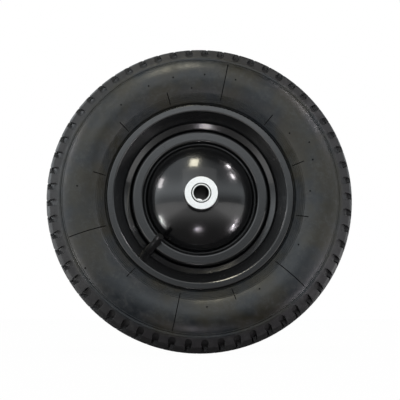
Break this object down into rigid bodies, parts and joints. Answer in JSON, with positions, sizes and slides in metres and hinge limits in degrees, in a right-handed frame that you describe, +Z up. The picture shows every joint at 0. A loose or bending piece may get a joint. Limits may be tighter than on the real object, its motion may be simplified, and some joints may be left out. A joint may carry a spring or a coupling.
{
  "type": "wheelbarrow wheel",
  "caption": "Pneumatic wheelbarrow wheel with a lugged tyre on a black pressed steel rim, dished discs, a tube hub with flanged ball bearings and a rubber tyre valve.",
  "frame": {"origin": "middle of the axle bore, on the wheel's middle plane", "axes": "+Y along the axle from the valve side to the plain side, +Z up, +X to the right seen from the valve side"},
  "size_m": [0.4, 0.1208, 0.4],
  "materials": {
    "tyre_rubber": "dark moulded rubber, matt with a soft sheen",
    "tube_rubber": "thin black tube rubber",
    "rim_paint": "gloss black paint on pressed steel",
    "dark_steel": "black oxide",
    "bearing_zinc": "bright zinc plate with turned rings",
    "bearing_steel": "ground bearing steel",
    "valve_rubber": "black moulded rubber",
    "valve_brass": "turned brass",
    "cap_plastic": "black moulded plastic"
  },
  "bodies": {
    "axle_sleeve": {"front_inner_ring": "bearing_steel", "back_inner_ring": "bearing_steel", "spacer_tube": "dark_steel"},
    "wheel": {"tyre": "tyre_rubber", "inner_tube": "tube_rubber", "rim_hoop": "rim_paint", "front_disc": "rim_paint", "back_disc": "rim_paint", "hub_tube": "rim_paint", "front_bearing_cup": "bearing_zinc", "back_bearing_cup": "bearing_zinc", "front_bearing_shield": "bearing_zinc", "back_bearing_shield": "bearing_zinc", "valve_stem": "valve_rubber", "valve_insert": "valve_brass", "valve_core": "valve_brass"},
    "front_ball_set": {"front_bearing_balls": "bearing_steel", "front_bearing_cage": "bearing_zinc"},
    "back_ball_set": {"back_bearing_balls": "bearing_steel", "back_bearing_cage": "bearing_zinc"},
    "valve_cap": {"valve_cap": "cap_plastic"},
    "valve_pin": {"valve_pin": "valve_brass"}
  },
  "joints": [
    {"name": "wheel_spin", "type": "hinge", "parent": "axle_sleeve", "child": "wheel", "pos_m": [0, 0, 0], "axis": [0, 1, 0], "continuous": true},
    {"name": "front_balls_orbit", "type": "hinge", "parent": "axle_sleeve", "child": "front_ball_set", "pos_m": [0, 0, 0], "axis": [0, 1, 0], "continuous": true},
    {"name": "back_balls_orbit", "type": "hinge", "parent": "axle_sleeve", "child": "back_ball_set", "pos_m": [0, 0, 0], "axis": [0, 1, 0], "continuous": true},
    {"name": "valve_cap_off", "type": "slide", "parent": "wheel", "child": "valve_cap", "axis": [0.4912, -0.7071, 0.5086], "range_m": [0, 0.012]},
    {"name": "valve_pin_press", "type": "slide", "parent": "wheel", "child": "valve_pin", "axis": [-0.4912, 0.7071, -0.5086], "range_m": [0, 0.0012], "stiffness_N_per_m": 1500, "springref_m": -0.001}
  ],
  "couplings": [
    {"joint": "front_balls_orbit", "follows": "wheel_spin", "ratio": 0.5845},
    {"joint": "back_balls_orbit", "follows": "wheel_spin", "ratio": 0.5845}
  ]
}
